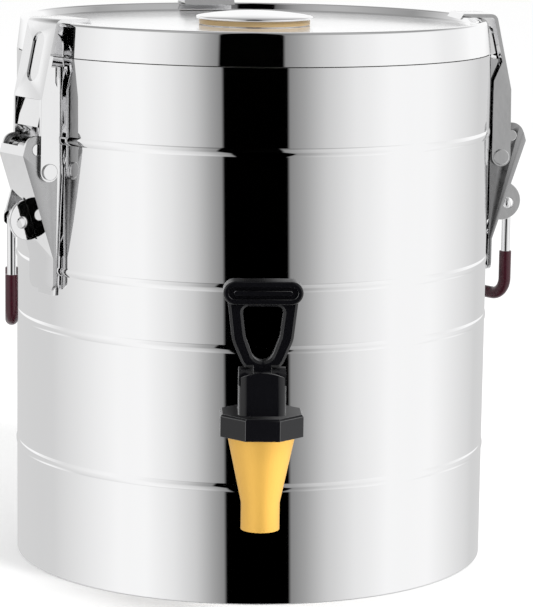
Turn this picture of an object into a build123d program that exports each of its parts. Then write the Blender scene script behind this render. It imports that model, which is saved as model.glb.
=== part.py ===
from build123d import *
import os
from math import cos, radians, sin, sqrt

# Insulated beverage dispenser: a double-walled steel barrel with a clamped lid,
# three toggle latches with carrying bails, a vent cap and a self-closing tap.
# Origin: middle of the flat underside. +Z is up and the tap points along -Y.

# Clearances
seam_gap = 0.15          # between pieces that are pressed or glued together
running_gap = 0.06       # round a pin in its hole, on the radius
snug_gap = 0.05          # round a pin or wire that is pressed in
side_gap = 0.3           # between plates that slide past each other
overrun = 5.0            # how far a cut runs past the face that it opens

# Barrel
barrel_radius = 133.0
barrel_height = 286.0
shell_sheet = 1.0
shell_foot = 0.6         # lower edge of the shell above the ground
liner_sheet = 1.0
insulation_width = 27.0  # foam between the shell and the pot
liner_floor = 33.0       # height of the pot's floor above the ground
liner_corner = 14.0      # rounding between the pot's wall and its floor
pan_sheet = 1.5
pan_flange = 9.0
pan_corner = 1.2
bead_drops = (222.2, 147.8, 115.3, 44)   # below the barrel's top
bead_radius = 5.5        # section of a rolled bead
bead_rise = 0.5          # how far a bead stands out of the wall

# Lid
lid_gap = 0.5            # the dark line between the lid and the barrel
lid_skirt = 17.6         # from the lid's lower edge to the top of its rim
lid_draft = 1.9          # how much the skirt leans in towards its top
lid_sheet = 1.0
lid_rim_width = 4.6      # flat-topped rolled rim round the top
lid_rim_round = 1.8
lid_recess = 4.6         # depth of the sunk top disc below the rim
lid_recess_slope = 3.0   # how far the rim's inner wall leans in
pan_clearance = 1.4      # plug of the lid inside the pot's mouth
plug_depth = 20.0
gasket_height = 2.6
gasket_width = 10.0
gasket_inset = 6.0       # from the lid's edge to the gasket

# Vent in the middle of the lid
vent_cap_radius = 33.0
vent_cap_rim = 1.6       # thickness of the dome at its edge
vent_cap_crown = 2.8     # rise of the dome above its edge
vent_cap_lift = 0.4      # dome's edge above the rim of the lid
vent_skirt_radius = 30.4
vent_skirt_wall = 1.2
vent_bore = 11.0
vent_wall = 1.5
vent_flange = 22.0       # radius of the neck's flange on the lid
vent_flange_sheet = 1.2
vent_plug_gap = 0.5
vent_seal_height = 1.2
vent_seal_round = 0.4

# Tap
tap_reach = 42.0         # from the barrel's wall to the tap's upright axis
shank_height = 92.0      # shank's axis above the ground
shank_radius = 8.5
shank_bore = 4.5
shank_tail = 17.0        # how far the shank stands into the pot
shank_flange_radius = 13.0
shank_flange_width = 5.0
shank_hole_gap = 0.4
washer_radius = 14.5
washer_width = 2.5
shank_nut_radius = 13.0
shank_nut_width = 6.0
outlet_drop = 39.5       # spout's end below the shank's axis
outlet_radius = 10.0
outlet_bore = 7.5
outlet_straight = 14.0   # length of the spout's straight end
body_rise = 11.0         # body's shoulder above the shank's axis
body_top_radius = 17.6
chamber_radius = 10.0
seat_drop = 8.0          # valve seat below the shank's axis
collar_radius = 14.5
collar_height = 6.5
nut_flats = 42.4         # across the flats of the eight-sided nut
nut_overlap = 0.4        # nut's lower edge below the body's shoulder
nut_height = 11.6
nut_chamfer = 1.0
nut_lip = 2.0            # the nut's top, which holds the bonnet's flange down
bonnet_width = 24.0
bonnet_wall = 1.8        # front and back wall above the handle's pin
bonnet_crown = 7.3       # middle of those walls above the pin
bonnet_arch = 25.5       # rounding of their top
swing_space = 11.4       # room about the pin for the foot of the handle's loop
bonnet_corner = 4.5
bonnet_flange = 2.4
pivot_rise = 19.5        # handle's pin above the body's collar
cheek_radius = 8.2
knuckle_radius = 8.0
knuckle_width = 9.0
handle_pin_radius = 2.0
handle_gap = 0.5
stem_radius = 2.0
stem_drop = 11.0         # stem's top below the handle's pin
stem_slot = 6.0
gland_height = 6.0
cup_radius = 8.6
cup_gap = 6.5            # from the cup's lip up to the gland
cup_wall = 2.2
cup_lip_round = 0.5
bar_width = 40.7
bar_height = 11.8
bar_depth = 13.0
loop_height = 32.5       # from the neck's lower edge to the bar
loop_width = 35.5
loop_depth = 9.6
loop_seat = 3.9          # how far the loop runs up inside the bar
loop_low_radius = 12.4   # outside of the loop at its foot
loop_middle_radius = 16.0
loop_middle_rise = 15.0  # above the hole's lowest point
loop_chamfer = 1.3
loop_hole_width = 20.6
loop_hole_corner = 3.0
loop_hole_low = 5.8      # rounding of the hole's lower end
loop_hole_middle = 9.0
loop_hole_top_gap = 1.2
loop_hole_wall = 2.9     # from the hole's lowest point to the neck's lower edge
grip_round = 1.2
grip_recess = 1.3        # depth of the oval recess in the bar's face
grip_border = 2.6
grip_ridge_height = 2.2
grip_ridge_inset = 3.0

# Latches: azimuth is counted from the tap, towards +X, and drops from the barrel's top
left_latch_azimuth = -58.0
right_latch_azimuth = 98.0
rear_latch_azimuth = 191.5
pad_sheet = 2.0
pad_width = 23.6
pad_foot_width = 16.0
pad_bottom_drop = 129.0
pad_top_drop = 5.0
rail_height = 4.0
rail_inset = 1.2
rail_bottom_drop = 94.0
rail_top_drop = 64.0
plate = 1.8              # sheet of base, lever and arms
lever_width = 26.0
lever_pivot_out = 14.2   # lever's pin, from the barrel's wall
lever_pivot_drop = 48.5
hook_pivot_out = 8.0     # hook's rivets, on the lever
hook_pivot_drop = 60.5
pin_radius = 3.2
rivet_radius = 2.5
rivet_head_radius = 4.4
rivet_head = 1.0
base_ear_radius = 5.5
base_ear_root_low_drop = 57.0
base_ear_root_high_drop = 39.5
base_notch_radius = 11.8
web_gap = 1.2            # between the base's front web and the hook
lever_ear_radius = 7.4
lever_knee_radius = 6.0
lever_face_top_drop = 51.5
lever_face_top_out = 22.9
lever_tip_drop = 108.0
lever_tip_gap = 0.6      # lever's tip above the pad
lever_flap = 5.0
lever_flap_bend = 34.0   # degrees
lever_tab = 18.0
lever_tab_corner = 5.0
staple_plate = 2.0
staple_chord = 22.0
staple_rise = 12.8
staple_middle_drop = 87.0
staple_root_share = 0.72
slot_margin = 1.0
lock_hole_radius = 3.0
lock_hole_out_share = 0.45
hook_width = 30.6
hook_sheet = 2.0
hook_gap = 0.4           # tongue above the lid's rim
hook_tongue = 16.0       # reach of the tongue over the lid
hook_shoulder_out = 2.6  # middle of the sheet at its top bend
hook_end_out = 11.8
hook_end_drop = 22.0
hook_bend = 3.0
hook_lip = 2.0
arm_top_drop = 5.0
arm_width = 10.4
arm_end_radius = 5.4
rib_width = 12.0
rib_length = 27.0
rib_depth = 1.1
rib_top_inset = 6.0
bail_out = 16.5          # bail's hinge tube, from the barrel's wall
bail_hinge_drop = 87.5
bail_span = 26.0
bail_stub = 6.5          # end of the wire that turns into the hinge tube
bail_wire = 2.5
bail_drop = 56.5         # hinge to the middle of the lower bar
bail_turn = 29.0         # degrees that the hinge tube is turned towards the barrel
bail_top_bend = 3.4
bail_low_bend = 10.0
bail_tube_wall = 1.6
bail_ear_top_drop = 72.0
sleeve_radius = 3.5
sleeve_top_drop = 118.0

lid_bottom = barrel_height + lid_gap
lid_top = lid_bottom + lid_skirt
lid_disc = lid_top - lid_recess
shell_inside = barrel_radius - shell_sheet
liner_outside = shell_inside - insulation_width
liner_radius = liner_outside - liner_sheet
half_lever = lever_width / 2
half_hook = hook_width / 2


def turned(points):
    """A solid of revolution about Z from an outline of (radius, height) points."""
    return revolve(Plane.XZ * make_face(Polyline(*points, close=True)), axis=Axis.Z)


def tube(outer, inner, low, high):
    """A ring about Z."""
    return turned([(inner, low), (outer, low), (outer, high), (inner, high)])


def rod(radius, low, high):
    """A round bar about Z."""
    return Pos(0, 0, (low + high) / 2) * Cylinder(radius, high - low)


def across(outline, low, high):
    """An outline drawn in X and Z, extruded along Y from low to high."""
    plane = Plane((0, low, 0), x_dir=(1, 0, 0), z_dir=(0, -1, 0))
    return extrude(plane * outline, amount=high - low, dir=(0, 1, 0))


def cross_rod(radius, x, z, low, high):
    """A round bar along Y."""
    return across(Pos(x, z) * Circle(radius), low, high)


def along_shank(radius, near, far):
    """A round bar along the tap's shank, between two distances from the barrel's axis."""
    bar = Rot(90, 0, 0) * Cylinder(radius, far - near)
    return Pos(0, -(near + far) / 2, shank_height) * bar


def save(solid, name):
    export_step(solid, os.path.join("parts", name + ".step"))


# Barrel: an outer shell with rolled beads, a pot, foam between them and a bottom pan.
def bead_rings(growth):
    """The rolled beads as full rings, grown for what has to clear them."""
    ring = Torus(barrel_radius + bead_rise - bead_radius, bead_radius + growth)
    return [Pos(0, 0, barrel_height - drop) * ring for drop in bead_drops]


def make_outer_shell():
    shell = rod(barrel_radius, shell_foot, barrel_height)
    for ring in bead_rings(0):
        shell += ring
    shell -= rod(shell_inside, -overrun, barrel_height + overrun)
    return shell - along_shank(shank_radius + shank_hole_gap, 0, barrel_radius + overrun)


def make_bottom_pan():
    radius = shell_inside - seam_gap
    pan = rod(radius, 0, pan_flange)
    pan -= rod(radius - pan_sheet, pan_sheet, pan_flange + overrun)
    return fillet(pan.edges().group_by(Axis.Z)[0], pan_corner)


def make_inner_liner():
    flange_bottom = barrel_height - liner_sheet
    pot = turned([
        (0, liner_floor - liner_sheet),
        (liner_outside, liner_floor - liner_sheet),
        (liner_outside, flange_bottom),
        (shell_inside - seam_gap, flange_bottom),
        (shell_inside - seam_gap, barrel_height),
        (0, barrel_height),
    ])
    pot = fillet(pot.edges().group_by(Axis.Z)[0], liner_corner + liner_sheet)
    hollow = rod(liner_radius, liner_floor, barrel_height + overrun)
    pot -= fillet(hollow.edges().group_by(Axis.Z)[0], liner_corner)
    return pot - along_shank(shank_radius + shank_hole_gap, 0, barrel_radius)


def make_insulation_floor():
    foam_top = liner_floor - liner_sheet - seam_gap
    foam = rod(shell_inside - seam_gap, pan_flange + seam_gap, foam_top)
    return foam + rod(shell_inside - pan_sheet - 2 * seam_gap, pan_sheet + seam_gap, pan_flange + seam_gap)


def make_insulation_wall():
    foam_bottom = liner_floor - liner_sheet
    foam_top = barrel_height - liner_sheet - seam_gap
    foam = tube(shell_inside - seam_gap, liner_outside + seam_gap, foam_bottom, foam_top)
    return foam - along_shank(shank_radius + shank_hole_gap, 0, barrel_radius)


# Lid: a pressed top with a raised rim, a plug pan under it, foam and a gasket.
lid_edge = barrel_radius - seam_gap
lid_top_edge = lid_edge - lid_draft
rim_inside = lid_top_edge - lid_rim_width
disc_edge = rim_inside - lid_recess_slope
lid_pan_flange = lid_bottom - lid_gap + gasket_height
plug_radius = liner_radius - pan_clearance
plug_bottom = barrel_height - plug_depth
vent_hole = vent_bore + vent_wall + seam_gap


def make_lid_shell():
    shell = turned([
        (vent_hole, lid_disc - lid_sheet),
        (disc_edge - lid_sheet / 2, lid_disc - lid_sheet),
        (rim_inside - lid_sheet / 2, lid_top - lid_sheet),
        (lid_top_edge - lid_sheet, lid_top - lid_sheet),
        (lid_edge - lid_sheet, lid_bottom),
        (lid_edge, lid_bottom),
        (lid_top_edge, lid_top),
        (rim_inside, lid_top),
        (disc_edge, lid_disc),
        (vent_hole, lid_disc),
    ])
    return fillet(shell.edges().group_by(Axis.Z)[-1], lid_rim_round)


def make_lid_pan():
    outer = lid_edge - lid_sheet - lid_draft / 2
    pan = turned([
        (vent_hole, plug_bottom),
        (plug_radius, plug_bottom),
        (plug_radius, lid_pan_flange),
        (outer, lid_pan_flange),
        (outer, lid_pan_flange + lid_sheet),
        (plug_radius - lid_sheet, lid_pan_flange + lid_sheet),
        (plug_radius - lid_sheet, plug_bottom + lid_sheet),
        (vent_hole, plug_bottom + lid_sheet),
    ])
    return pan


def make_lid_foam():
    low = lid_pan_flange + lid_sheet + seam_gap
    high = lid_disc - lid_sheet - seam_gap
    outer = disc_edge - lid_sheet - seam_gap
    inner = plug_radius - lid_sheet - seam_gap
    return turned([
        (vent_hole, plug_bottom + lid_sheet + seam_gap),
        (inner, plug_bottom + lid_sheet + seam_gap),
        (inner, low),
        (outer, low),
        (outer, high),
        (vent_hole, high),
    ])


def make_lid_gasket():
    outer = lid_edge - gasket_inset
    ring = tube(outer, outer - gasket_width, barrel_height, lid_pan_flange)
    bulge = gasket_height / 2
    middle = Pos(0, 0, barrel_height + bulge)
    return ring + middle * (Torus(outer, bulge) + Torus(outer - gasket_width, bulge))


# Vent: a neck through the lid and a low domed cap that pulls up out of it.
vent_flange_top = lid_disc + vent_flange_sheet
vent_dome_edge = lid_top + vent_cap_lift


def make_vent_neck():
    neck = tube(vent_bore + vent_wall, vent_bore, plug_bottom - seam_gap, vent_flange_top)
    return neck + tube(vent_flange, vent_bore, lid_disc, vent_flange_top)


def make_vent_seal():
    ring = tube(vent_flange, vent_bore, vent_flange_top, vent_flange_top + vent_seal_height)
    return fillet(ring.edges().group_by(Axis.Z)[-1], vent_seal_round)


def make_vent_cap():
    crown = vent_cap_crown
    sphere_radius = (vent_cap_radius ** 2 + crown ** 2) / (2 * crown)
    dome = Pos(0, 0, vent_dome_edge + crown - sphere_radius) * Sphere(sphere_radius)
    dome &= rod(vent_cap_radius, vent_dome_edge, vent_dome_edge + crown + overrun)
    brim = rod(vent_cap_radius, vent_dome_edge - vent_cap_rim, vent_dome_edge)
    seal_top = vent_flange_top + vent_seal_height
    skirt = tube(vent_skirt_radius, vent_skirt_radius - vent_skirt_wall,
                 lid_disc + seam_gap, vent_dome_edge)
    plug_tip = plug_bottom + plug_depth / 2
    plug = rod(vent_bore - vent_plug_gap, plug_tip, vent_dome_edge)
    shoulder = rod(vent_flange, seal_top, vent_dome_edge)
    return dome + brim + skirt + plug + shoulder


# Tap: body with spout and shank, bonnet held by an eight-sided nut, handle, stem and cup.
tap_axis = barrel_radius + tap_reach
tap = Pos(0, -tap_axis, 0)
outlet_height = shank_height - outlet_drop
body_top = shank_height + body_rise
seat_height = shank_height - seat_drop
collar_top = body_top + collar_height
nut_bottom = body_top - nut_overlap
bonnet_flange_top = collar_top + bonnet_flange
pivot_height = collar_top + pivot_rise
stem_top = pivot_height - stem_drop
cup_top = collar_top - gland_height - cup_gap
handle_bottom = pivot_height + cheek_radius + handle_gap
bonnet_depth = 2 * (swing_space + bonnet_wall)
bar_bottom = handle_bottom + loop_height


def make_tap_body():
    body = turned([
        (0, outlet_height),
        (outlet_radius, outlet_height),
        (outlet_radius, outlet_height + outlet_straight),
        (body_top_radius, nut_bottom),
        (collar_radius, nut_bottom),
        (collar_radius, collar_top),
        (0, collar_top),
    ])
    chamber = rod(chamber_radius, seat_height, collar_top + overrun)
    outlet = rod(outlet_bore, outlet_height - overrun, seat_height)
    socket = along_shank(shank_radius + snug_gap, barrel_radius, tap_axis)
    return tap * body - tap * chamber - tap * outlet - socket


def make_tap_shank():
    flange_near = barrel_radius + washer_width
    shank = along_shank(shank_radius, liner_radius - shank_tail, tap_axis)
    shank += along_shank(shank_flange_radius, flange_near, flange_near + shank_flange_width)
    shank -= along_shank(shank_bore, liner_radius - shank_tail - overrun, tap_axis)
    return shank - tap * rod(chamber_radius + seam_gap, seat_height - overrun, collar_top)


def make_outer_washer():
    ring = along_shank(washer_radius, liner_radius, barrel_radius + washer_width - seam_gap)
    ring -= along_shank(shank_radius + seam_gap, 0, tap_axis)
    return ring - rod(barrel_radius + seam_gap, 0, barrel_height)


inner_washer_near = liner_radius - washer_width - washer_radius ** 2 / (2 * liner_radius)


def make_inner_washer():
    ring = along_shank(washer_radius, inner_washer_near, liner_radius + overrun)
    ring -= along_shank(shank_radius + seam_gap, 0, tap_axis)
    return ring & rod(liner_radius - seam_gap, 0, barrel_height)


def make_shank_nut():
    near = inner_washer_near - seam_gap - shank_nut_width
    hexagon = extrude(RegularPolygon(shank_nut_radius, 6), amount=shank_nut_width)
    nut = Pos(0, -near, shank_height) * Rot(90, 0, 0) * hexagon
    return nut - along_shank(shank_radius + running_gap, 0, tap_axis)


def make_tap_nut():
    nut_top = nut_bottom + nut_height
    eight_sides = RegularPolygon(nut_flats / 2, 8, major_radius=False, rotation=180 / 8)
    nut = Pos(0, 0, nut_bottom) * extrude(eight_sides, amount=nut_height)
    nut = chamfer(nut.edges().group_by(Axis.Z)[-1], nut_chamfer)
    nut -= rod(collar_radius + running_gap, nut_bottom + seam_gap, nut_top - nut_lip)
    nut -= rod(collar_radius + running_gap, nut_bottom - overrun, nut_bottom + seam_gap)
    opening = RectangleRounded(bonnet_width + 2 * seam_gap, bonnet_depth + 2 * seam_gap, bonnet_corner)
    nut -= Pos(0, 0, nut_bottom) * extrude(opening, amount=nut_height + overrun)
    return tap * nut


def make_bonnet():
    section = RectangleRounded(bonnet_width, bonnet_depth, bonnet_corner)
    block = extrude(section, amount=pivot_height + bonnet_crown - bonnet_flange_top)
    bonnet = Pos(0, 0, bonnet_flange_top) * block
    arch = Pos(0, 0, pivot_height + bonnet_crown - bonnet_arch) * Rot(90, 0, 0)
    below_arch = Pos(0, 0, pivot_height / 2) * Box(bonnet_width, bonnet_depth, pivot_height)
    bonnet &= arch * Cylinder(bonnet_arch, bonnet_depth) + below_arch
    bonnet -= Pos(0, 0, pivot_height + swing_space) * Box(bonnet_width, 2 * swing_space, 2 * swing_space)
    cheeks = Rot(0, 90, 0) * Cylinder(cheek_radius, bonnet_width)
    bonnet += Pos(0, 0, pivot_height) * cheeks
    bonnet += rod(collar_radius - seam_gap, collar_top + seam_gap, bonnet_flange_top)
    bonnet -= rod(stem_radius + running_gap, collar_top - overrun, pivot_height)
    space_width = knuckle_width + 2 * side_gap
    knuckle_space = Rot(0, 90, 0) * Cylinder(knuckle_radius + handle_gap, space_width)
    above = Pos(0, 0, cheek_radius) * Box(space_width, 2 * swing_space, 2 * cheek_radius)
    bonnet -= Pos(0, 0, pivot_height) * (knuckle_space + above)
    pin_hole = Rot(0, 90, 0) * Cylinder(handle_pin_radius + running_gap, bonnet_width + overrun)
    bonnet -= Pos(0, 0, pivot_height) * pin_hole
    return tap * bonnet


def make_handle():
    bar = Pos(0, bar_bottom + bar_height / 2) * SlotOverall(bar_width, bar_height)
    hole_bottom = handle_bottom + loop_hole_wall
    low = Pos(0, hole_bottom + loop_hole_low)
    middle = Pos(0, hole_bottom + loop_middle_rise)
    loop_head = Pos(0, bar_bottom + loop_seat / 2) * Rectangle(loop_width, loop_seat)
    loop = make_hull((low * Circle(loop_low_radius)).edges()
                     + (middle * Circle(loop_middle_radius)).edges() + loop_head.edges())
    loop -= Pos(0, handle_bottom - loop_low_radius) * Rectangle(loop_width, 2 * loop_low_radius)
    corner_out = loop_hole_width / 2 - loop_hole_corner
    corner_height = bar_bottom - loop_hole_top_gap - loop_hole_corner
    hole = make_hull((low * Circle(loop_hole_low)).edges() + (middle * Circle(loop_hole_middle)).edges()
                     + (Pos(-corner_out, corner_height) * Circle(loop_hole_corner)).edges()
                     + (Pos(corner_out, corner_height) * Circle(loop_hole_corner)).edges())
    frame = across(loop - hole, -loop_depth / 2, loop_depth / 2)
    frame_faces = frame.faces().sort_by(Axis.Y)
    frame = chamfer(frame_faces[0].edges() + frame_faces[-1].edges(), loop_chamfer)
    grip = across(bar, -bar_depth / 2, bar_depth / 2)
    grip_faces = grip.faces().sort_by(Axis.Y)
    grip = fillet(grip_faces[0].edges() + grip_faces[-1].edges(), grip_round)
    recess_length = bar_width - 2 * grip_border
    recess = SlotOverall(recess_length, bar_height - 2 * grip_border)
    recess -= SlotOverall(recess_length - 2 * grip_ridge_inset, grip_ridge_height)
    recess = Pos(0, bar_bottom + bar_height / 2) * recess
    grip -= across(recess, -bar_depth / 2 - overrun, -bar_depth / 2 + grip_recess)
    knuckle = Pos(0, 0, pivot_height) * Rot(0, 90, 0) * Cylinder(knuckle_radius, knuckle_width)
    tongue_height = handle_bottom - pivot_height + loop_hole_wall / 2
    tongue = Pos(0, 0, pivot_height + tongue_height / 2) * Box(knuckle_width, loop_depth, tongue_height)
    handle = frame + grip + knuckle + tongue
    pin_hole = Rot(0, 90, 0) * Cylinder(handle_pin_radius + running_gap, bonnet_width)
    handle -= Pos(0, 0, pivot_height) * pin_hole
    slot_top = pivot_height - handle_pin_radius - handle_gap
    handle -= Pos(0, 0, slot_top - knuckle_radius) * Box(stem_slot, bonnet_depth, 2 * knuckle_radius)
    return tap * handle


def make_handle_pin():
    pin = Rot(0, 90, 0) * Cylinder(handle_pin_radius, bonnet_width - 2 * seam_gap)
    return tap * Pos(0, 0, pivot_height) * pin


def make_stem():
    return tap * rod(stem_radius, seat_height + cup_wall + seam_gap, stem_top)


def make_seat_cup():
    cup = rod(cup_radius, seat_height, cup_top)
    cup -= rod(cup_radius - cup_wall, seat_height + 2 * cup_wall, cup_top + overrun)
    cup = fillet(cup.edges().group_by(Axis.Z)[-1], cup_lip_round)
    cup -= rod(stem_radius + snug_gap, seat_height + cup_wall, cup_top)
    return tap * cup


def make_stem_gland():
    gland = tube(chamber_radius - seam_gap, stem_radius + running_gap,
                 collar_top - gland_height, collar_top)
    return tap * gland


# Latches: everything below is drawn in a latch's own frame, where X is the distance out
# from the barrel's wall, Y points towards the tap and Z is up.
pad_bottom = barrel_height - pad_bottom_drop
pad_top = barrel_height - pad_top_drop
rail_bottom = barrel_height - rail_bottom_drop
rail_top = barrel_height - rail_top_drop
lever_pivot_height = barrel_height - lever_pivot_drop
hook_pivot_height = barrel_height - hook_pivot_drop
base_ear_root_low = barrel_height - base_ear_root_low_drop
base_ear_root_high = barrel_height - base_ear_root_high_drop
lever_face_top = barrel_height - lever_face_top_drop
lever_tip = barrel_height - lever_tip_drop
staple_middle = barrel_height - staple_middle_drop
hook_end_height = barrel_height - hook_end_drop
arm_top = barrel_height - arm_top_drop
bail_height = barrel_height - bail_hinge_drop
bail_ear_top = barrel_height - bail_ear_top_drop
sleeve_top = barrel_height - sleeve_top_drop
slope = (lever_face_top_out - (pad_sheet + lever_tip_gap + plate)) / (lever_face_top - lever_tip)
face_stretch = sqrt(1 + slope ** 2)
plate_out = plate * face_stretch
wall = Pos(-barrel_radius, 0, 0)
hook_top = lid_top + hook_gap + hook_sheet / 2
hook_lean = (hook_end_out - hook_shoulder_out) / (hook_top - hook_end_height)
hook_stretch = sqrt(1 + hook_lean ** 2)


def face_out(height):
    """Outside of the lever's face at a height."""
    return pad_sheet + lever_tip_gap + plate + slope * (height - lever_tip)


def hook_out(height):
    """Middle of the hook's sheet at a height."""
    return hook_shoulder_out + hook_lean * (hook_top - height)


def make_latch_base():
    height = pad_top - pad_bottom
    ring = rod(barrel_radius + pad_sheet, pad_bottom, pad_top)
    ring -= rod(barrel_radius + seam_gap, pad_bottom, pad_top)
    outline = make_face(Polyline(
        (-pad_foot_width / 2, pad_bottom), (pad_foot_width / 2, pad_bottom),
        (pad_width / 2, rail_top), (pad_width / 2, pad_top),
        (-pad_width / 2, pad_top), (-pad_width / 2, rail_top), close=True))
    blank = extrude(Plane.YZ * outline, amount=height)
    pad = wall * ring & Pos(-height / 2, 0, 0) * blank
    for bead in bead_rings(seam_gap):
        pad -= wall * bead
    seat = pad_sheet / 2
    rail_out = pad_sheet + rail_height
    rail = make_face(Polyline((seat, rail_bottom), (rail_out, rail_bottom + rail_height),
                              (rail_out, rail_top), (seat, rail_top), close=True))
    rail_outside = pad_foot_width / 2
    flange_outside = half_lever - plate - side_gap
    web_outside = hook_sheet / 2 * hook_stretch + web_gap
    web_low = lever_pivot_height
    front_low = hook_out(web_low) - web_outside
    front_high = hook_out(pad_top) - web_outside
    flange = make_face(Polyline((seat, web_low), (front_low, web_low), (front_high, pad_top),
                                (seat, pad_top), close=True))
    web = make_face(Polyline((front_low, web_low), (front_high, pad_top),
                             (front_high - plate, pad_top), (front_low - plate, web_low), close=True))
    channel = across(web, -flange_outside, flange_outside)
    ear_circle = Pos(lever_pivot_out, lever_pivot_height) * Circle(base_ear_radius)
    ear_root = Polyline((seat, base_ear_root_low), (seat, base_ear_root_high),
                        (seat + plate, base_ear_root_high), (seat + plate, base_ear_root_low), close=True)
    ear = make_hull(ear_circle.edges() + ear_root.edges())
    base = pad
    for side in (-1, 1):
        inner, outer = sorted((side * flange_outside, side * (flange_outside - plate)))
        channel += across(flange, inner, outer)
        low, high = sorted((side * rail_outside, side * (rail_outside - rail_inset)))
        base += across(rail, low, high)
    channel -= cross_rod(base_notch_radius, lever_pivot_out, lever_pivot_height, -half_lever, half_lever)
    base += channel
    for side in (-1, 1):
        inner, outer = sorted((side * flange_outside, side * (flange_outside - plate)))
        base += across(ear, inner, outer)
    base -= wall * rod(barrel_radius + seam_gap, pad_bottom, pad_top)
    hole = cross_rod(pin_radius + snug_gap, lever_pivot_out, lever_pivot_height, -half_lever, half_lever)
    return base - hole


def make_lever_pin():
    return cross_rod(pin_radius, lever_pivot_out, lever_pivot_height,
                     -half_lever - side_gap / 2, half_lever + side_gap / 2)


staple_face = face_out(staple_middle)
staple_run = staple_chord / 2 / face_stretch
staple_low = staple_middle - staple_run
staple_high = staple_middle + staple_run


def make_staple():
    crest_out = staple_face + staple_rise / face_stretch
    crest_height = staple_middle - staple_rise * slope / face_stretch
    arc = ThreePointArc((face_out(staple_low), staple_low), (crest_out, crest_height),
                        (face_out(staple_high), staple_high))
    root_low = staple_middle - staple_root_share * staple_run
    root_high = staple_middle + staple_root_share * staple_run
    edge = Polyline((face_out(staple_high), staple_high), (pad_sheet + seam_gap, root_high),
                    (pad_sheet + seam_gap, root_low), (face_out(staple_low), staple_low))
    outline = make_face(arc.edges() + edge.edges())
    hole_out = staple_face + lock_hole_out_share * staple_rise / face_stretch
    hole_height = staple_middle - lock_hole_out_share * staple_rise * slope / face_stretch
    outline -= Pos(hole_out, hole_height) * Circle(lock_hole_radius)
    return across(outline, -staple_plate / 2, staple_plate / 2)


bail_direction = (-sin(radians(bail_turn)), -cos(radians(bail_turn)))
bail_near_y = -half_lever + plate + seam_gap


def bail_plane():
    """Plane of the hanging bail: X runs along its hinge and Y is up."""
    along = (bail_direction[0], bail_direction[1], 0)
    across_way = (-bail_direction[1], bail_direction[0], 0)
    normal = (-across_way[0], -across_way[1], 0)
    return Plane((bail_out, bail_near_y, bail_height), x_dir=along, z_dir=normal)


bail_near_leg = -bail_top_bend - seam_gap
bail_far_leg = bail_near_leg + bail_span
bail_tube_near = seam_gap
bail_tube_far = bail_far_leg - bail_top_bend - seam_gap


def hinge_rod(radius, near, far):
    """A round bar along the bail's hinge."""
    plane = bail_plane()
    start = plane.from_local_coords(Vector(near, 0, 0))
    ring = Plane(start, x_dir=(0, 0, 1), z_dir=plane.x_dir)
    return extrude(ring * Circle(radius), amount=far - near)


def make_lever():
    tip_in = pad_sheet + lever_tip_gap
    bend = radians(lever_flap_bend)
    rise_x, rise_z = slope / face_stretch, 1 / face_stretch
    flap_x = rise_x * cos(bend) - rise_z * sin(bend)
    flap_z = rise_x * sin(bend) + rise_z * cos(bend)
    flap_end_out = lever_face_top_out + lever_flap * flap_x
    flap_end = lever_face_top + lever_flap * flap_z
    sheet = make_face(Polyline(
        (face_out(lever_tip), lever_tip), (lever_face_top_out, lever_face_top),
        (flap_end_out, flap_end), (flap_end_out - plate * flap_z, flap_end + plate * flap_x),
        (lever_face_top_out - plate_out, lever_face_top), (tip_in, lever_tip),
        (tip_in, lever_tip - lever_tab), (tip_in + plate, lever_tip - lever_tab), close=True))
    lever = across(sheet, -half_lever, half_lever)
    corners = lever.edges().filter_by(Axis.X).group_by(Axis.Z)[0]
    lever = fillet(corners, lever_tab_corner)
    pivot = Pos(lever_pivot_out, lever_pivot_height) * Circle(lever_ear_radius)
    knee = Pos(hook_pivot_out, hook_pivot_height) * Circle(lever_knee_radius)
    inner_face = Polyline((tip_in, lever_tip), (tip_in + plate / 2, lever_tip),
                          (lever_face_top_out - plate_out / 2, lever_face_top), close=True)
    cheek = make_hull(pivot.edges() + knee.edges() + inner_face.edges())
    for side in (-1, 1):
        low, high = sorted((side * half_lever, side * (half_lever - plate)))
        lever += across(cheek, low, high)
    slot_low, slot_high = staple_low - slot_margin, staple_high + slot_margin
    slot = make_face(Polyline(
        (face_out(slot_low) + overrun, slot_low), (face_out(slot_high) + overrun, slot_high),
        (face_out(slot_high) - overrun, slot_high), (face_out(slot_low) - overrun, slot_low), close=True))
    half_slot = staple_plate / 2 + side_gap
    lever -= across(slot, -half_slot, half_slot)
    knuckle_radius_out = bail_wire + bail_tube_wall
    ear_top_out = face_out(bail_ear_top)
    ear_circle = Pos(bail_out, bail_height) * Circle(knuckle_radius_out)
    ear_root = Polyline((ear_top_out, bail_ear_top), (ear_top_out - plate, bail_ear_top),
                        (face_out(bail_height) - plate, bail_height), close=True)
    lever += across(make_hull(ear_circle.edges() + ear_root.edges()), -half_lever, -half_lever + plate)
    lever -= hinge_rod(knuckle_radius_out + side_gap, bail_near_leg - bail_wire, 0)
    lever += hinge_rod(knuckle_radius_out, bail_tube_near, bail_tube_far)
    lever -= hinge_rod(bail_wire + running_gap, bail_near_leg, bail_far_leg)
    lever -= cross_rod(pin_radius + running_gap, lever_pivot_out, lever_pivot_height,
                       -half_lever - overrun, half_lever + overrun)
    return lever - cross_rod(rivet_radius + snug_gap, hook_pivot_out, hook_pivot_height,
                             -half_lever - overrun, half_lever + overrun)


def make_hook_rivets():
    rivets = []
    for side in (-1, 1):
        low, high = sorted((side * (half_lever - plate), side * (half_hook + side_gap / 2)))
        shank = cross_rod(rivet_radius, hook_pivot_out, hook_pivot_height, low, high)
        head_seat = half_hook + side_gap / 2
        low, high = sorted((side * head_seat, side * (head_seat + rivet_head)))
        head = cross_rod(rivet_head_radius, hook_pivot_out, hook_pivot_height, low, high)
        rivets.append(shank + head)
    return Compound(children=rivets)


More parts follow.
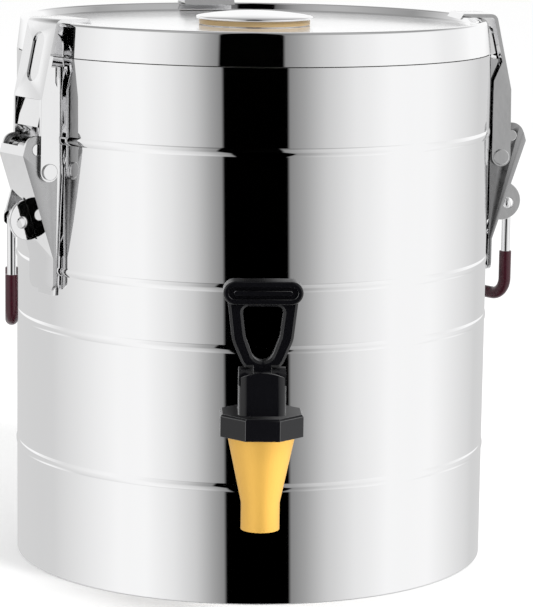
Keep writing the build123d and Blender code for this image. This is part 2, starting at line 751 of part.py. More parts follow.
def make_hook():
    tip_out = -hook_tongue
    line = FilletPolyline((tip_out, hook_top), (hook_shoulder_out, hook_top),
                          (hook_end_out, hook_end_height), radius=hook_bend)
    hook = across(trace(line, hook_sheet), -half_hook, half_hook)
    lip = make_face(Polyline(
        (tip_out, hook_top + hook_sheet / 2), (tip_out - hook_lip, hook_top - hook_lip),
        (tip_out - hook_lip / 2, hook_top - hook_sheet / 2 - hook_lip / 2),
        (tip_out, hook_top - hook_sheet / 2), close=True))
    hook += across(lip, -half_hook, half_hook)
    arm_back = hook_pivot_out - arm_end_radius
    half_sheet = hook_sheet / 2 * hook_stretch
    arm_high = (hook_out(arm_top), arm_top)
    arm_step = arm_top - (hook_out(arm_top) - arm_back) / hook_lean / 2
    arm = make_face(Polyline(
        arm_high, (hook_end_out + half_sheet, hook_end_height),
        (arm_back + arm_width, hook_end_height - arm_width),
        (hook_pivot_out + arm_end_radius, hook_pivot_height),
        (arm_back, hook_pivot_height), (arm_back, arm_step), close=True))
    arm += Pos(hook_pivot_out, hook_pivot_height) * Circle(arm_end_radius)
    for side in (-1, 1):
        low, high = sorted((side * half_hook, side * (half_lever + side_gap)))
        hook += across(arm, low, high)
    rib_middle = hook_top - rib_top_inset - rib_length / 2
    outward = (1 / hook_stretch, 0, hook_lean / hook_stretch)
    surface = Plane((hook_out(rib_middle), 0, rib_middle), x_dir=(0, 1, 0), z_dir=outward)
    slot = Rot(0, 0, 90) * SlotOverall(rib_length, rib_width)
    boss = Rot(0, 0, 90) * SlotOverall(rib_length, rib_width + hook_sheet)
    hook += extrude(surface * boss, amount=-(hook_sheet / 2 + rib_depth))
    hook -= extrude(surface.offset(hook_sheet / 2 - rib_depth) * slot, amount=rib_depth + overrun)
    hole = cross_rod(rivet_radius + running_gap, hook_pivot_out, hook_pivot_height,
                     -half_hook - overrun, half_hook + overrun)
    return hook - hole


def bail_wire_path(top):
    """The bail's U from its two legs' upper ends at a height above or below the hinge."""
    return [(bail_near_leg, top), (bail_near_leg, -bail_drop),
            (bail_far_leg, -bail_drop), (bail_far_leg, top)]


def swept(points, radii, radius):
    plane = bail_plane()
    path = plane * FilletPolyline(*points, radius=radii)
    start = Plane(path @ 0, z_dir=path % 0)
    return sweep(start * Circle(radius), path=path)


def make_bail():
    points = [(bail_near_leg + bail_stub, 0)] + bail_wire_path(0) + [(bail_far_leg - bail_stub, 0)]
    radii = [bail_top_bend, bail_low_bend, bail_low_bend, bail_top_bend]
    return swept(points, radii, bail_wire)


def make_bail_sleeve():
    points = bail_wire_path(sleeve_top - bail_height)
    radii = [bail_low_bend, bail_low_bend]
    return swept(points, radii, sleeve_radius) - swept(points, radii, bail_wire + snug_gap)


def place_latch(solid, azimuth):
    """Moves a piece from the latch's frame to its place, mirrored on the side of +X."""
    if azimuth > 0:
        solid = mirror(solid, about=Plane.XZ)
    return Rot(0, 0, azimuth - 90) * Pos(barrel_radius, 0, 0) * solid


os.makedirs("parts", exist_ok=True)
save(make_outer_shell(), "outer_shell")
save(make_bottom_pan(), "bottom_pan")
save(make_inner_liner(), "inner_liner")
save(make_insulation_floor(), "insulation_floor")
save(make_insulation_wall(), "insulation_wall")
save(make_lid_shell(), "lid_shell")
save(make_lid_pan(), "lid_pan")
save(make_lid_foam(), "lid_foam")
save(make_lid_gasket(), "lid_gasket")
save(make_vent_neck(), "vent_neck")
save(make_vent_seal(), "vent_seal")
save(make_vent_cap(), "vent_cap")
save(make_tap_body(), "tap_body")
save(make_tap_shank(), "tap_shank")
save(make_outer_washer(), "shank_outer_washer")
save(make_inner_washer(), "shank_inner_washer")
save(make_shank_nut(), "shank_nut")
save(make_tap_nut(), "tap_nut")
save(make_bonnet(), "tap_bonnet")
save(make_handle(), "tap_handle")
save(make_handle_pin(), "tap_handle_pin")
save(make_stem(), "tap_stem")
save(make_seat_cup(), "tap_seat_cup")
save(make_stem_gland(), "tap_stem_gland")
latch_pieces = {
    "latch_base": make_latch_base(),
    "lever_pin": make_lever_pin(),
    "lock_staple": make_staple(),
    "latch_lever": make_lever(),
    "hook_rivets": make_hook_rivets(),
    "latch_hook": make_hook(),
    "bail": make_bail(),
    "bail_sleeve": make_bail_sleeve(),
}
latch_sides = {"left": left_latch_azimuth, "right": right_latch_azimuth, "rear": rear_latch_azimuth}
for side_name, side_azimuth in latch_sides.items():
    for piece_name, piece in latch_pieces.items():
        save(place_latch(piece, side_azimuth), side_name + "_" + piece_name)
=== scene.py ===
import math

import bmesh
import bpy
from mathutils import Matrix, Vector


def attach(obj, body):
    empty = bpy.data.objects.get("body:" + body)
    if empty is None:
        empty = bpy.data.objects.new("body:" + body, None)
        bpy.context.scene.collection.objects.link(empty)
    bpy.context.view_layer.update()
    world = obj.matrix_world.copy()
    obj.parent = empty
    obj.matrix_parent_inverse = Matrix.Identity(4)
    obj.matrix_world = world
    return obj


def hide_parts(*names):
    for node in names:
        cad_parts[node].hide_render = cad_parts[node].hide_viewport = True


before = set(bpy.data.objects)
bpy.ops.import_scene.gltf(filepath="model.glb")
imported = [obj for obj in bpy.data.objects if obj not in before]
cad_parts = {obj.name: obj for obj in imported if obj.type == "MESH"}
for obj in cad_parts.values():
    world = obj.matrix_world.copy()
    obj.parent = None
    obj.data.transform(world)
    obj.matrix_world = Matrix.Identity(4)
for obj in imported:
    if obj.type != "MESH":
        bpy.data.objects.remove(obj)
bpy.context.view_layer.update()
scene = bpy.context.scene

# Outer shell of the barrel: a sheet of stainless steel rolled into a drum and seam-welded,
# with four beads rolled into it to stiffen it, then polished like a mirror.
drum_radius = 0.133
drum_top = 0.286
drum_foot = 0.0006
drum_sheet = 0.001
drum_steps = 192
drum_crease = math.radians(12)
bead_heights = (0.0638, 0.1382, 0.1707, 0.242)
bead_radius = 0.0055
bead_rise = 0.0005
bead_steps = 12
polished_tint = (0.97, 0.97, 0.975, 1)
upright_grain = (1, 1, 0.06)


def arc(middle, radius, first, last, steps):
    """The round stretch of a section: points about a middle, from one angle to another."""
    turns = [first + (last - first) * step / steps for step in range(steps + 1)]
    return [(middle[0] + radius * math.cos(turn), middle[1] + radius * math.sin(turn)) for turn in turns]


def spun_sheet(name, section, steps, crease):
    """A round pressing: a closed section of radius and height points, spun about the barrel's axis."""
    seam = 1e-7
    shape = bmesh.new()
    corners = [shape.verts.new((radius, 0, height)) for radius, height in section]
    rim = [shape.edges.new(pair) for pair in zip(corners, corners[1:] + corners[:1])]
    bmesh.ops.spin(shape, geom=corners + rim, cent=(0, 0, 0), axis=(0, 0, 1), angle=2 * math.pi,
                   steps=steps, use_merge=True, use_duplicate=False)
    bmesh.ops.remove_doubles(shape, verts=shape.verts, dist=seam)
    bmesh.ops.recalc_face_normals(shape, faces=shape.faces)
    for face in shape.faces:
        face.smooth = True
    for edge in shape.edges:
        edge.smooth = not (len(edge.link_faces) == 2 and edge.calc_face_angle() > crease)
    mesh = bpy.data.meshes.new(name)
    shape.to_mesh(mesh)
    shape.free()
    piece = bpy.data.objects.new(name, mesh)
    scene.collection.objects.link(piece)
    return piece


def sheet_metal(name, tint, smoothest, roughest, grain, scratch, bare=1):
    """Metal with fine marks along one way and a polish that varies; bare is 1 without lacquer."""
    marks_per_metre = 40
    mark_depth = 0.0002
    dimmest_share = 0.96
    metal = bpy.data.materials.new(name)
    metal.use_nodes = True
    tree = metal.node_tree
    shader = tree.nodes["Principled BSDF"]
    shader.inputs["Metallic"].default_value = bare
    place = tree.nodes.new("ShaderNodeTexCoord")
    stretch = tree.nodes.new("ShaderNodeMapping")
    stretch.inputs["Scale"].default_value = grain
    marks = tree.nodes.new("ShaderNodeTexNoise")
    marks.inputs["Scale"].default_value = marks_per_metre
    marks.inputs["Detail"].default_value = 4
    polish = tree.nodes.new("ShaderNodeMapRange")
    polish.inputs["To Min"].default_value = smoothest
    polish.inputs["To Max"].default_value = roughest
    tone = tree.nodes.new("ShaderNodeValToRGB")
    tone.color_ramp.elements[0].color = [channel * dimmest_share for channel in tint[:3]] + [1]
    tone.color_ramp.elements[1].color = tint
    relief = tree.nodes.new("ShaderNodeBump")
    relief.inputs["Strength"].default_value = scratch
    relief.inputs["Distance"].default_value = mark_depth
    tree.links.new(place.outputs["Object"], stretch.inputs["Vector"])
    tree.links.new(stretch.outputs["Vector"], marks.inputs["Vector"])
    tree.links.new(marks.outputs["Fac"], polish.inputs["Value"])
    tree.links.new(marks.outputs["Fac"], tone.inputs["Fac"])
    tree.links.new(marks.outputs["Fac"], relief.inputs["Height"])
    tree.links.new(polish.outputs["Result"], shader.inputs["Roughness"])
    tree.links.new(tone.outputs["Color"], shader.inputs["Base Color"])
    tree.links.new(relief.outputs["Normal"], shader.inputs["Normal"])
    return metal


def dress(piece, material):
    """One finish over a whole piece."""
    if piece.data.materials:
        piece.data.materials.clear()
    piece.data.materials.append(material)


bead_middle = drum_radius + bead_rise - bead_radius
bead_reach = math.acos((drum_radius - bead_middle) / bead_radius)
drum_section = [(drum_radius - drum_sheet, drum_foot), (drum_radius, drum_foot)]
for height in bead_heights:
    drum_section += arc((bead_middle, height), bead_radius, -bead_reach, bead_reach, bead_steps)
drum_section += [(drum_radius, drum_top), (drum_radius - drum_sheet, drum_top)]
drum = spun_sheet("outer_shell_polished", drum_section, drum_steps, drum_crease)
mirror_steel = sheet_metal("mirror_steel", polished_tint, smoothest=0.015, roughest=0.05,
                           grain=upright_grain, scratch=0.004)
dress(drum, mirror_steel)
# The latches mirror the tent and not the barrel, so shell and foam are hidden from mirrors.
drum.visible_glossy = False
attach(drum, "barrel")
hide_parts("outer_shell")

# Bottom pan, inner pot and foam: the pan and the pot are pressed from thinner stainless sheet,
# left with a satin finish, and the space between pot and shell is filled with rigid foam.
satin_tint = (0.72, 0.72, 0.725, 1)
satin_grain = (1, 1, 0.1)
foam_cells_per_metre = 900
foam_dark = (0.62, 0.5, 0.28, 1)
foam_light = (0.8, 0.7, 0.45, 1)
round_angle = math.radians(35)
satin_steel = sheet_metal("satin_steel", satin_tint, smoothest=0.22, roughest=0.34,
                          grain=satin_grain, scratch=0.03)
dress(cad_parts["bottom_pan"], satin_steel)
dress(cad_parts["inner_liner"], satin_steel)
foam = bpy.data.materials.new("rigid_foam")
foam.use_nodes = True
foam_tree = foam.node_tree
foam_shader = foam_tree.nodes["Principled BSDF"]
foam_shader.inputs["Roughness"].default_value = 0.9
foam_place = foam_tree.nodes.new("ShaderNodeTexCoord")
foam_cells = foam_tree.nodes.new("ShaderNodeTexVoronoi")
foam_cells.inputs["Scale"].default_value = foam_cells_per_metre
foam_colour = foam_tree.nodes.new("ShaderNodeValToRGB")
foam_colour.color_ramp.elements[0].color = foam_dark
foam_colour.color_ramp.elements[1].color = foam_light
foam_tree.links.new(foam_place.outputs["Object"], foam_cells.inputs["Vector"])
foam_tree.links.new(foam_cells.outputs["Distance"], foam_colour.inputs["Fac"])
foam_tree.links.new(foam_colour.outputs["Color"], foam_shader.inputs["Base Color"])
dress(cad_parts["lid_foam"], foam)


def eased_copy(node, body, ease, flat, edge_slot=0):
    """A node's shape with its facets joined, its curved sides smooth and its edges eased."""
    weld = 2e-6
    coplanar = math.radians(0.6)
    level = math.radians(1)
    shape = bmesh.new()
    shape.from_mesh(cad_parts[node].data)
    plane = shape.faces.layers.int.new("plane")
    bmesh.ops.remove_doubles(shape, verts=shape.verts, dist=weld)
    bmesh.ops.dissolve_limit(shape, angle_limit=coplanar, verts=shape.verts, edges=shape.edges)
    folds = [edge for edge in shape.edges if len(edge.link_faces) == 2]
    sharp = [edge for edge in folds if edge.calc_face_angle() > flat]
    curved = {edge for edge in folds if level < edge.calc_face_angle() <= flat}
    for face in shape.faces:
        face[plane] = int(curved.isdisjoint(face.edges))
    rounded = set()
    if ease > 0:
        bevel = bmesh.ops.bevel(shape, geom=sharp, offset=ease, offset_type="OFFSET", segments=3,
                                profile=0.5, affect="EDGES", clamp_overlap=True, material=-1)
        rounded.update(bevel["faces"])
    for face in rounded:
        face.material_index = edge_slot
    for face in shape.faces:
        face.smooth = face in rounded or not face[plane]
    shape.faces.layers.int.remove(plane)
    for edge in shape.edges:
        edge.smooth = not (len(edge.link_faces) == 2 and edge.calc_face_angle() > flat)
    mesh = bpy.data.meshes.new(node + "_eased")
    shape.to_mesh(mesh)
    shape.free()
    piece = bpy.data.objects.new(node + "_eased", mesh)
    scene.collection.objects.link(piece)
    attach(piece, body)
    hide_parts(node)
    return piece


for node in ("insulation_floor", "insulation_wall"):
    filling = eased_copy(node, "barrel", 0, round_angle)
    dress(filling, foam)
    filling.visible_glossy = False

# Lid: one pressing of polished stainless steel with a slightly tapered skirt, a rolled rim and a
# sunk top that is rubbed to a milky sheen. A satin pan below it plugs the pot, with a silicone
# gasket round it.
lid_low = 0.2865
lid_high = 0.3041
lid_edge = 0.13285
lid_top_edge = 0.13095
lid_rim_inside = 0.12635
lid_disc_edge = 0.12335
lid_disc_top = 0.2995
lid_sheet = 0.001
lid_round = 0.0018
lid_round_steps = 6
lid_hole = 0.01265
lid_crease = math.radians(50)
fillet_out = 0.0006
fillet_rise = 0.0008
fillet_low = 0.0002
fillet_in = 0.001
even_grain = (1, 1, 1)
least_upward = 0.99
lid_under = lid_high - lid_sheet
disc_under = lid_disc_top - lid_sheet
rim_middle = lid_high - lid_round
lid_section = [(lid_hole, disc_under), (lid_disc_edge - lid_sheet / 2, disc_under)]
lid_section += [(lid_rim_inside - lid_sheet / 2, lid_under), (lid_top_edge - lid_sheet, lid_under)]
lid_section += [(lid_edge - lid_sheet, lid_low), (lid_edge, lid_low)]
lid_section += arc((lid_top_edge - lid_round, rim_middle), lid_round, 0, math.pi / 2, lid_round_steps)
lid_section += arc((lid_rim_inside + lid_round, rim_middle), lid_round, math.pi / 2, math.pi, lid_round_steps)
lid_section += [(lid_disc_edge + fillet_out, lid_disc_top + fillet_rise)]
lid_section += [(lid_disc_edge, lid_disc_top + fillet_low), (lid_disc_edge - fillet_in, lid_disc_top)]
lid_section += [(lid_disc_edge - 2 * fillet_in, lid_disc_top), (lid_hole, lid_disc_top)]
lid = spun_sheet("lid_shell_polished", lid_section, drum_steps, lid_crease)
dress(lid, mirror_steel)
lid_satin = sheet_metal("lid_satin", polished_tint, smoothest=0.1, roughest=0.16,
                        grain=even_grain, scratch=0.02, bare=0.55)
lid.data.materials.append(lid_satin)
for face in lid.data.polygons:
    face.material_index = int(face.normal.z > least_upward and face.center.z < rim_middle)
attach(lid, "lid")
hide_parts("lid_shell")
dress(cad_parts["lid_pan"], satin_steel)


def moulded(name, colour, smoothest, roughest):
    """Rubber, silicone or plastic with the faint cloudy surface that a mould leaves."""
    clouds_per_metre = 260
    cloud_depth = 0.0002
    cloud_share = 0.05
    rubber = bpy.data.materials.new(name)
    rubber.use_nodes = True
    tree = rubber.node_tree
    shader = tree.nodes["Principled BSDF"]
    shader.inputs["Base Color"].default_value = colour
    place = tree.nodes.new("ShaderNodeTexCoord")
    cloud = tree.nodes.new("ShaderNodeTexNoise")
    cloud.inputs["Scale"].default_value = clouds_per_metre
    dullness = tree.nodes.new("ShaderNodeMapRange")
    dullness.inputs["To Min"].default_value = smoothest
    dullness.inputs["To Max"].default_value = roughest
    relief = tree.nodes.new("ShaderNodeBump")
    relief.inputs["Strength"].default_value = cloud_share
    relief.inputs["Distance"].default_value = cloud_depth
    tree.links.new(place.outputs["Object"], cloud.inputs["Vector"])
    tree.links.new(cloud.outputs["Fac"], dullness.inputs["Value"])
    tree.links.new(cloud.outputs["Fac"], relief.inputs["Height"])
    tree.links.new(dullness.outputs["Result"], shader.inputs["Roughness"])
    tree.links.new(relief.outputs["Normal"], shader.inputs["Normal"])
    return rubber


silicone_colour = (0.66, 0.66, 0.63, 1)
silicone = moulded("silicone", silicone_colour, smoothest=0.5, roughest=0.65)
dress(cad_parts["lid_gasket"], silicone)

# Vent in the middle of the lid: a steel neck flanged onto the lid, a silicone ring, and a low domed
# cap of polished steel on a straight skirt, with an amber band round the skirt that grips the lid.
vent_radius = 0.033
vent_edge_low = 0.3029
vent_edge_high = 0.3045
vent_crown = 0.0028
vent_skirt = 0.0304
vent_skirt_low = 0.29965
vent_skirt_wall = 0.0012
vent_plug = 0.0105
vent_plug_low = 0.276
vent_shoulder = 0.3019
vent_steps = 96
brim_steps = 8
dome_steps = 12
band_thickness = 0.0008
band_bite = 0.0002
band_foot = 0.0003
amber_colour = (0.6, 0.42, 0.2, 1)
vent_skirt_inside = vent_skirt - vent_skirt_wall
vent_sphere = (vent_radius ** 2 + vent_crown ** 2) / (2 * vent_crown)
brim_round = (vent_edge_high - vent_edge_low) / 2
brim_middle = (vent_radius - brim_round, vent_edge_low + brim_round)
vent_section = [(0, vent_plug_low), (vent_plug, vent_plug_low), (vent_plug, vent_shoulder)]
vent_section += [(vent_skirt_inside, vent_shoulder), (vent_skirt_inside, vent_skirt_low)]
vent_section += [(vent_skirt, vent_skirt_low), (vent_skirt, vent_edge_low)]
vent_section += arc(brim_middle, brim_round, -math.pi / 2, math.pi / 2, brim_steps)
dome_edge = vent_radius - 2 * brim_round
for step in range(dome_steps + 1):
    reach = dome_edge * (1 - step / dome_steps)
    rise = math.sqrt(vent_sphere ** 2 - reach ** 2) - (vent_sphere - vent_crown)
    vent_section.append((reach, vent_edge_high + rise))
vent = spun_sheet("vent_cap_polished", vent_section, vent_steps, round_angle)
dress(vent, mirror_steel)
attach(vent, "vent_cap")
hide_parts("vent_cap")
dress(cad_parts["vent_neck"], satin_steel)
dress(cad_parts["vent_seal"], silicone)
band_in = vent_skirt - band_bite
band_out = vent_skirt + band_thickness
band_low = vent_skirt_low + band_foot
band_high = vent_edge_low - band_bite
band_section = [(band_in, band_low), (band_out, band_low), (band_out, band_high), (band_in, band_high)]
band = spun_sheet("vent_band", band_section, vent_steps, round_angle)
amber_silicone = moulded("amber_silicone", amber_colour, smoothest=0.25, roughest=0.4)
dress(band, amber_silicone)
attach(band, "vent_cap")

# Tap body: a turned and drilled brass casting with its spout and shank in one, brushed lengthwise
# and lacquered gold, held in the wall by silicone washers and a steel nut inside the pot.
gold_tint = (0.86, 0.5, 0.1, 1)
gold_grain = (1, 1, 0.05)
spout_ease = 0.0004
nut_ease = 0.0003
bend_angle = math.radians(25)
brushed_gold = sheet_metal("brushed_gold", gold_tint, smoothest=0.4, roughest=0.52,
                           grain=gold_grain, scratch=0.1, bare=0.5)
for node in ("tap_body", "tap_shank"):
    spout = eased_copy(node, "barrel", spout_ease, round_angle)
    dress(spout, brushed_gold)
    spout.visible_glossy = False
dress(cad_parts["shank_inner_washer"], silicone)
dress(eased_copy("shank_nut", "barrel", nut_ease, bend_angle), satin_steel)

# Bonnet, its eight-sided nut and the handle: glossy black moulded plastic. The nut clamps the
# bonnet on the body, and the handle with its finger loop turns on a steel pin between two cheeks.
# The moulded edges are polished more than the faces, so they draw thin bright lines.
black_colour = (0.004, 0.004, 0.005, 1)
plastic_ease = 0.0007
black_plastic = moulded("black_plastic", black_colour, smoothest=0.05, roughest=0.12)
black_edge = moulded("black_edge", black_colour, smoothest=0.05, roughest=0.1)
for finish, bending, coat in ((black_plastic, 1.36, 0.2), (black_edge, 2.1, 1)):
    black_shader = finish.node_tree.nodes["Principled BSDF"]
    black_shader.inputs["IOR"].default_value = bending
    black_shader.inputs["Coat Weight"].default_value = coat
    black_shader.inputs["Coat Roughness"].default_value = 0.04
for node, body in (("tap_nut", "barrel"), ("tap_bonnet", "barrel"), ("tap_handle", "tap_handle")):
    moulding = eased_copy(node, body, plastic_ease, bend_angle, edge_slot=1)
    dress(moulding, black_plastic)
    moulding.data.materials.append(black_edge)
    moulding.visible_glossy = False

# Valve inside the tap: a steel stem through a silicone gland lifts a silicone cup off its seat, and
# the handle turns on a steel pin. The washer between the tap and the wall is silicone too. Like the
# rest of the tap, none of it is mirrored in the wall.
valve_pieces = (("tap_stem", "tap_stem", satin_steel, "pressed_steel"),
                ("tap_handle_pin", "barrel", satin_steel, "pressed_steel"),
                ("tap_seat_cup", "tap_stem", silicone, "silicone"),
                ("tap_stem_gland", "barrel", silicone, "silicone"),
                ("shank_outer_washer", "barrel", silicone, "silicone"))
for node, body, finish, slot_name in valve_pieces:
    inner = eased_copy(node, body, 0, round_angle)
    dress(inner, finish)
    inner.visible_glossy = False

# Three toggle latches: bases welded to the shell, levers and hooks bent from stainless sheet and
# joined by steel pins and rivets. All is bright steel, but the levers' cheeks are given a darker grey steel
# as painted shade.
bright_tint = (0.9, 0.9, 0.905, 1)
bright_grain = (1.5, 1.5, 1)
# Painted shade: a darker, rougher grey steel for the levers' sideways faces only.
cheek_shade_tint = (0.5, 0.5, 0.505, 1)
cheek_shade_grain = (6, 6, 6)
latch_ease = 0.0003
least_sideways = 0.9
latch_turns = {"left": math.radians(-58), "right": math.radians(98), "rear": math.radians(191.5)}
latch_pieces = (("latch_base", "barrel", bend_angle), ("lock_staple", "barrel", round_angle),
                ("lever_pin", "barrel", round_angle), ("latch_lever", "SIDE_lever", bend_angle),
                ("hook_rivets", "SIDE_lever", round_angle), ("latch_hook", "SIDE_hook", bend_angle))
bright_steel = sheet_metal("bright_steel", bright_tint, smoothest=0.04, roughest=0.1,
                           grain=bright_grain, scratch=0.7)
shaded_cheek_steel = sheet_metal("shaded_cheek_steel", cheek_shade_tint, smoothest=0.2, roughest=0.36,
                            grain=cheek_shade_grain, scratch=0.25)
for side, turn in latch_turns.items():
    along_wall = Vector((math.cos(turn), math.sin(turn), 0))
    for piece_name, body, flat in latch_pieces:
        piece = eased_copy(side + "_" + piece_name, body.replace("SIDE", side), latch_ease, flat)
        dress(piece, bright_steel)
        if piece_name == "latch_lever":
            # Painted shade: faces of the lever turned along the wall take the darker grey steel by their
            # direction.
            piece.data.materials.append(shaded_cheek_steel)
            for face in piece.data.polygons:
                face.material_index = int(abs(face.normal.dot(along_wall)) > least_sideways)

# Carrying bails: steel wire bent into a U and hinged in a tube on each lever, with a dark red
# plastic sleeve over the part that the fingers take.
maroon_colour = (0.045, 0.004, 0.011, 1)
sleeve_ease = 0.0003
maroon_sleeve = moulded("maroon_sleeve", maroon_colour, smoothest=0.2, roughest=0.35)
for side in latch_turns:
    wire = eased_copy(side + "_bail", side + "_bail", 0, round_angle)
    dress(wire, bright_steel)
    sleeve = eased_copy(side + "_bail_sleeve", side + "_bail", sleeve_ease, round_angle)
    dress(sleeve, maroon_sleeve)
    wire.visible_glossy = False
    sleeve.visible_glossy = False

# Studio floor: a wide pale sheet that takes the shadow. Mirrors look through it, and for the lens
# alone it is lifted a little, to a white ground.
floor_radius = 14
floor_colour = (0.97, 0.97, 0.97, 1)
floor_lift = 0.13
white = (1, 1, 1, 1)
floor_shape = bmesh.new()
bmesh.ops.create_circle(floor_shape, cap_ends=True, segments=64, radius=floor_radius)
floor_mesh = bpy.data.meshes.new("studio_floor")
floor_shape.to_mesh(floor_mesh)
floor_shape.free()
floor = bpy.data.objects.new("studio_floor", floor_mesh)
scene.collection.objects.link(floor)
floor_paint = bpy.data.materials.new("floor_paint")
floor_paint.use_nodes = True
floor_tree = floor_paint.node_tree
floor_shader = floor_tree.nodes["Principled BSDF"]
floor_shader.inputs["Base Color"].default_value = floor_colour
floor_shader.inputs["Roughness"].default_value = 1
floor_shader.inputs["Specular IOR Level"].default_value = 0
floor_shader.inputs["Emission Color"].default_value = white


def feed(tree, socket, value):
    """Give a socket a value of its own, or the link that brings one."""
    if isinstance(value, bpy.types.NodeSocket):
        tree.links.new(value, socket)
    else:
        socket.default_value = value


def worked_out(tree, operation, first, second):
    """What one operation gives for two values."""
    node = tree.nodes.new("ShaderNodeMath")
    node.operation = operation
    feed(tree, node.inputs[0], first)
    feed(tree, node.inputs[1], second)
    return node.outputs["Value"]


floor_path = floor_tree.nodes.new("ShaderNodeLightPath")
floor_glow = worked_out(floor_tree, "MULTIPLY", floor_path.outputs["Is Camera Ray"], floor_lift)
floor_gone = floor_tree.nodes.new("ShaderNodeBsdfTransparent")
floor_mix = floor_tree.nodes.new("ShaderNodeMixShader")
feed(floor_tree, floor_shader.inputs["Emission Strength"], floor_glow)
feed(floor_tree, floor_mix.inputs["Fac"], floor_path.outputs["Is Glossy Ray"])
feed(floor_tree, floor_mix.inputs[1], floor_shader.outputs["BSDF"])
feed(floor_tree, floor_mix.inputs[2], floor_gone.outputs["BSDF"])
feed(floor_tree, floor_tree.nodes["Material Output"].inputs["Surface"], floor_mix.outputs["Shader"])
floor_mesh.materials.append(floor_paint)

# Studio tent: pale cloth all round, with a tall black flag behind the lens and a white panel on each
# side. The tent is grey beside the flag, darker at its crown and foot, and only mirrors see its tones.
# A white card stands behind the object, above and below the heights that the wall mirrors.
tent_front = math.radians(-5.3)
flag_line = 0.2
lean_reach = 0.27
lean_turn = math.radians(6.4)
panel_tone = 0.965
back_tone = 0.66
fade_tones = ((0, 0.23), (0.15, 0.365), (0.36, 0.615), (0.64, 0.82), (1, panel_tone))
panel_fall = 45
# Degrees each way from the tent's front: the flag's edge, the fade to the panel, the panel's width.
tent_sides = ((-1, 13.2, 40, 15), (1, 17.3, 52, 27))
height_tones = ((-1, 0.5), (-0.85, 0.6), (-0.72, 1), (0.42, 1), (0.62, 0.45), (1, 0.5))
card_near = 0.2
card_far = 0.6
card_tones = ((-1, 1), (-0.46, 1), (-0.36, 0), (-0.07, 0), (-0.02, 1), (0.28, 1), (0.4, 0))
soft_tone = (0.88, 0.88, 0.88, 1)
tent = bpy.data.worlds.new("studio_tent")
scene.world = tent
tent.use_nodes = True
tent_tree = tent.node_tree


def spread(value, low, high, to_low=0, to_high=1):
    """A value's place between two ends, carried over to two others and held within them."""
    node = tent_tree.nodes.new("ShaderNodeMapRange")
    node.inputs["From Min"].default_value = low
    node.inputs["From Max"].default_value = high
    node.inputs["To Min"].default_value = to_low
    node.inputs["To Max"].default_value = to_high
    tent_tree.links.new(value, node.inputs["Value"])
    return node.outputs["Result"]


def grey_ramp(share, low, high, tones):
    """Grey tones by a share from 0 to 1, for places that run from low to high."""
    node = tent_tree.nodes.new("ShaderNodeValToRGB")
    stops = node.color_ramp.elements
    stops.remove(stops[1])
    for place, tone in sorted(tones):
        stop = stops[0] if place == low else stops.new((place - low) / (high - low))
        stop.color = (tone, tone, tone, 1)
    tent_tree.links.new(share, node.inputs["Fac"])
    return node.outputs["Color"]


def blended(share, first, second, blend="MIX"):
    """Two colours laid over each other by a share."""
    node = tent_tree.nodes.new("ShaderNodeMix")
    node.data_type = "RGBA"
    node.blend_type = blend
    feed(tent_tree, node.inputs["Factor"], share)
    feed(tent_tree, node.inputs["A"], first)
    feed(tent_tree, node.inputs["B"], second)
    return node.outputs["Result"]


tent_place = tent_tree.nodes.new("ShaderNodeTexCoord")
tent_parts = tent_tree.nodes.new("ShaderNodeSeparateXYZ")
tent_tree.links.new(tent_place.outputs["Generated"], tent_parts.inputs["Vector"])
across = tent_parts.outputs["X"]
away = tent_parts.outputs["Y"]
upward = tent_parts.outputs["Z"]
tent_tones = [(-180, back_tone)]
for way, edge, fade, panel in tent_sides:
    panel_end = edge + fade + panel
    tent_tones += [(way * (edge - flag_line), 0)]
    tent_tones += [(way * (edge + fade * share), tone) for share, tone in fade_tones]
    tent_tones += [(way * panel_end, panel_tone), (way * (panel_end + panel_fall), back_tone)]
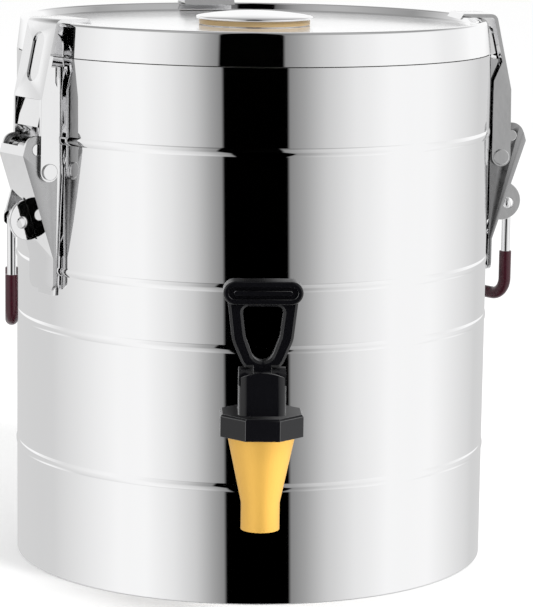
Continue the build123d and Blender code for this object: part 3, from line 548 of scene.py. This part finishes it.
# Below eye level the flag bends aside, so that its mirror image stands nearly upright on the wall.
facing = worked_out(tent_tree, "MULTIPLY", away, -1)
around = worked_out(tent_tree, "ARCTAN2", across, facing)
lean = spread(upward, -lean_reach, 0, -lean_turn, 0)
upright = worked_out(tent_tree, "ADD", around, lean)
share_round = spread(upright, tent_front - math.pi, tent_front + math.pi)
share_up = spread(upward, -1, 1)
cloth = grey_ramp(share_round, -180, 180, tent_tones)
shaded = blended(1, cloth, grey_ramp(share_up, -1, 1, height_tones), "MULTIPLY")
card_share = worked_out(tent_tree, "MULTIPLY", spread(away, card_near, card_far),
                        grey_ramp(share_up, -1, 1, card_tones))
carded = blended(card_share, shaded, white)
tent_path = tent_tree.nodes.new("ShaderNodeLightPath")
seen = blended(tent_path.outputs["Is Glossy Ray"], soft_tone, carded)
tent_tree.links.new(seen, tent_tree.nodes["Background"].inputs["Color"])

# Lamps: a soft disc high on the right, which gives the shadow its side, and a narrow spot from the
# right on the spout. Neither is seen in mirrors.
lamp_data = bpy.data.lights.new("soft_lamp", "AREA")
lamp_data.shape = "DISK"
lamp_data.size = 0.6
lamp_data.energy = 20
lamp = bpy.data.objects.new("soft_lamp", lamp_data)
lamp.location = (1.0, -1.1, 1.9)
lamp.rotation_euler = (math.radians(38), 0, math.radians(42))
lamp.visible_glossy = False
scene.collection.objects.link(lamp)
spot_target = Vector((0, -0.175, 0.078))
spot_data = bpy.data.lights.new("spout_spot", "SPOT")
spot_data.energy = 22
spot_data.spot_size = math.radians(10)
spot_data.spot_blend = 1
spot_data.shadow_soft_size = 0.03
spot = bpy.data.objects.new("spout_spot", spot_data)
spot.location = (0.5, -0.65, 0.16)
spot_aim = spot_target - spot.location
spot.rotation_euler = spot_aim.to_track_quat("-Z", "Y").to_euler()
spot.visible_glossy = False
scene.collection.objects.link(spot)

# Lens: a long one, a little above the lid's height, looking slightly down at the tap side. Its place
# is fitted to the barrel's rings in the photograph.
lens_data = bpy.data.cameras.new("lens")
lens_data.sensor_width = 36
lens_data.lens = 165.81
lens_data.clip_end = 60
lens = bpy.data.objects.new("lens", lens_data)
lens.location = (-0.05496, -1.57384, 0.4047)
lens.rotation_euler = (math.radians(80.48), math.radians(-0.779), math.radians(-2.193))
scene.collection.objects.link(lens)
scene.camera = lens
scene.view_settings.view_transform = "Standard"
